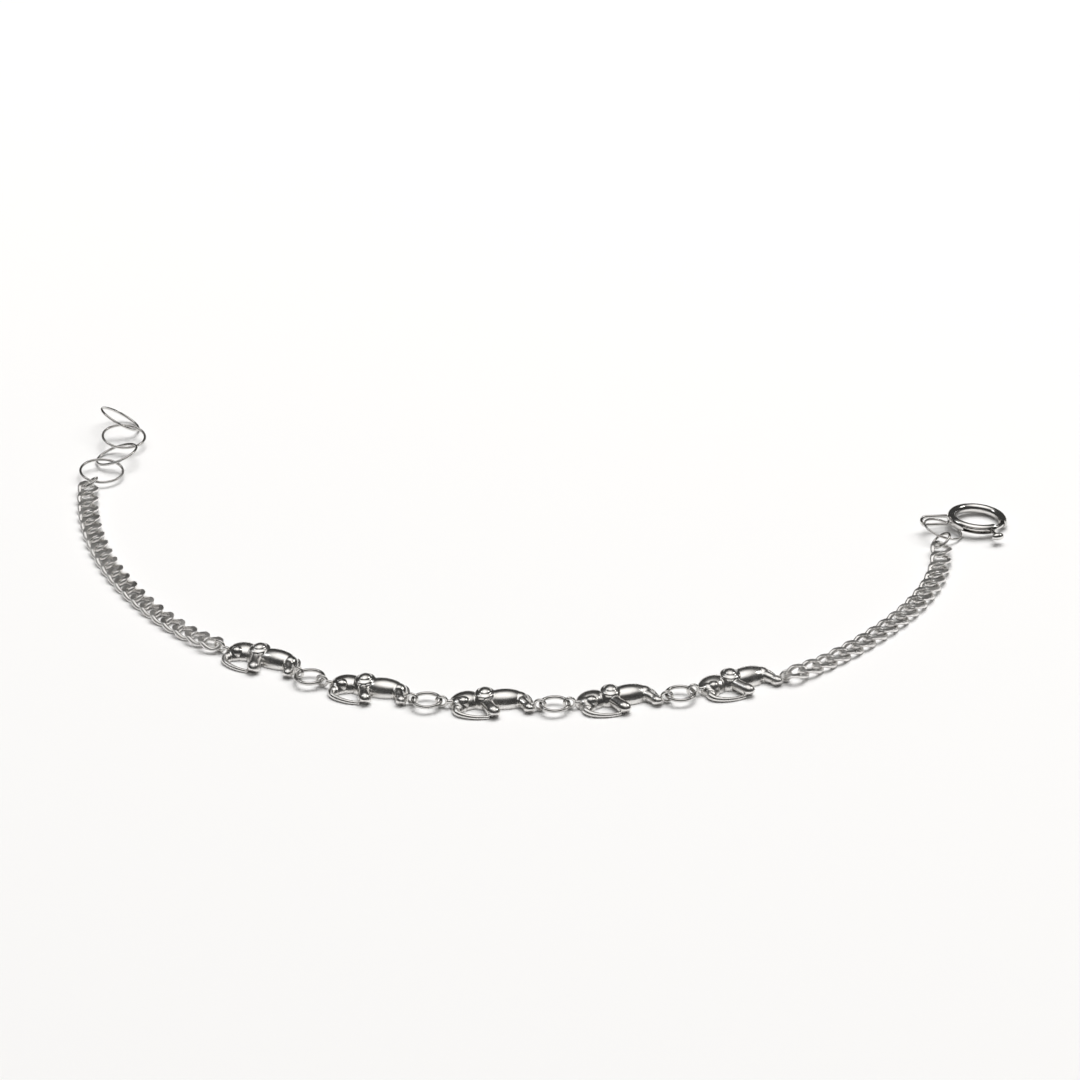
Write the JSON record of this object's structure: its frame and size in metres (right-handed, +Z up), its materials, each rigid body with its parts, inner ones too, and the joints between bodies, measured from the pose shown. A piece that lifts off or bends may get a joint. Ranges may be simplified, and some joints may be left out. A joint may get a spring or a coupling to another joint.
{
  "type": "charm anklet",
  "caption": "Anklet lying open: relief elephant charms joined by rings, a curb chain at each side, extension rings at one end and a spring ring clasp at the other.",
  "frame": {"origin": "middle of the bounding box in plan, at the flat surface the anklet lies on", "axes": "+X from the extension rings towards the clasp, +Y from the row of charms towards the open ends, +Z up out of the surface, the charms' raised faces up"},
  "size_m": [0.0918, 0.0616, 0.0025],
  "materials": {
    "silver": "polished sterling silver"
  },
  "bodies": {
    "anklet": {"elephant_1": "silver", "elephant_2": "silver", "elephant_3": "silver", "elephant_4": "silver", "elephant_5": "silver", "connector_ring_1": "silver", "connector_ring_2": "silver", "connector_ring_3": "silver", "connector_ring_4": "silver", "extension_ring_1": "silver", "extension_ring_2": "silver", "extension_ring_3": "silver", "extension_ring_4": "silver", "joining_link": "silver", "end_ring": "silver", "jump_ring": "silver", "clasp_ring": "silver", "curb_chain_left": "silver", "curb_chain_right": "silver"},
    "trigger": {"clasp_trigger": "silver"}
  },
  "joints": [
    {"name": "clasp_trigger", "type": "hinge", "parent": "anklet", "child": "trigger", "pos_m": [0.04294, 0.00796, 0.00074], "axis": [0.0867, 0.0585, 0.9945], "range_deg": [-50, 0], "stiffness_Nm_per_rad": 0.0035, "springref_deg": 11.46}
  ]
}
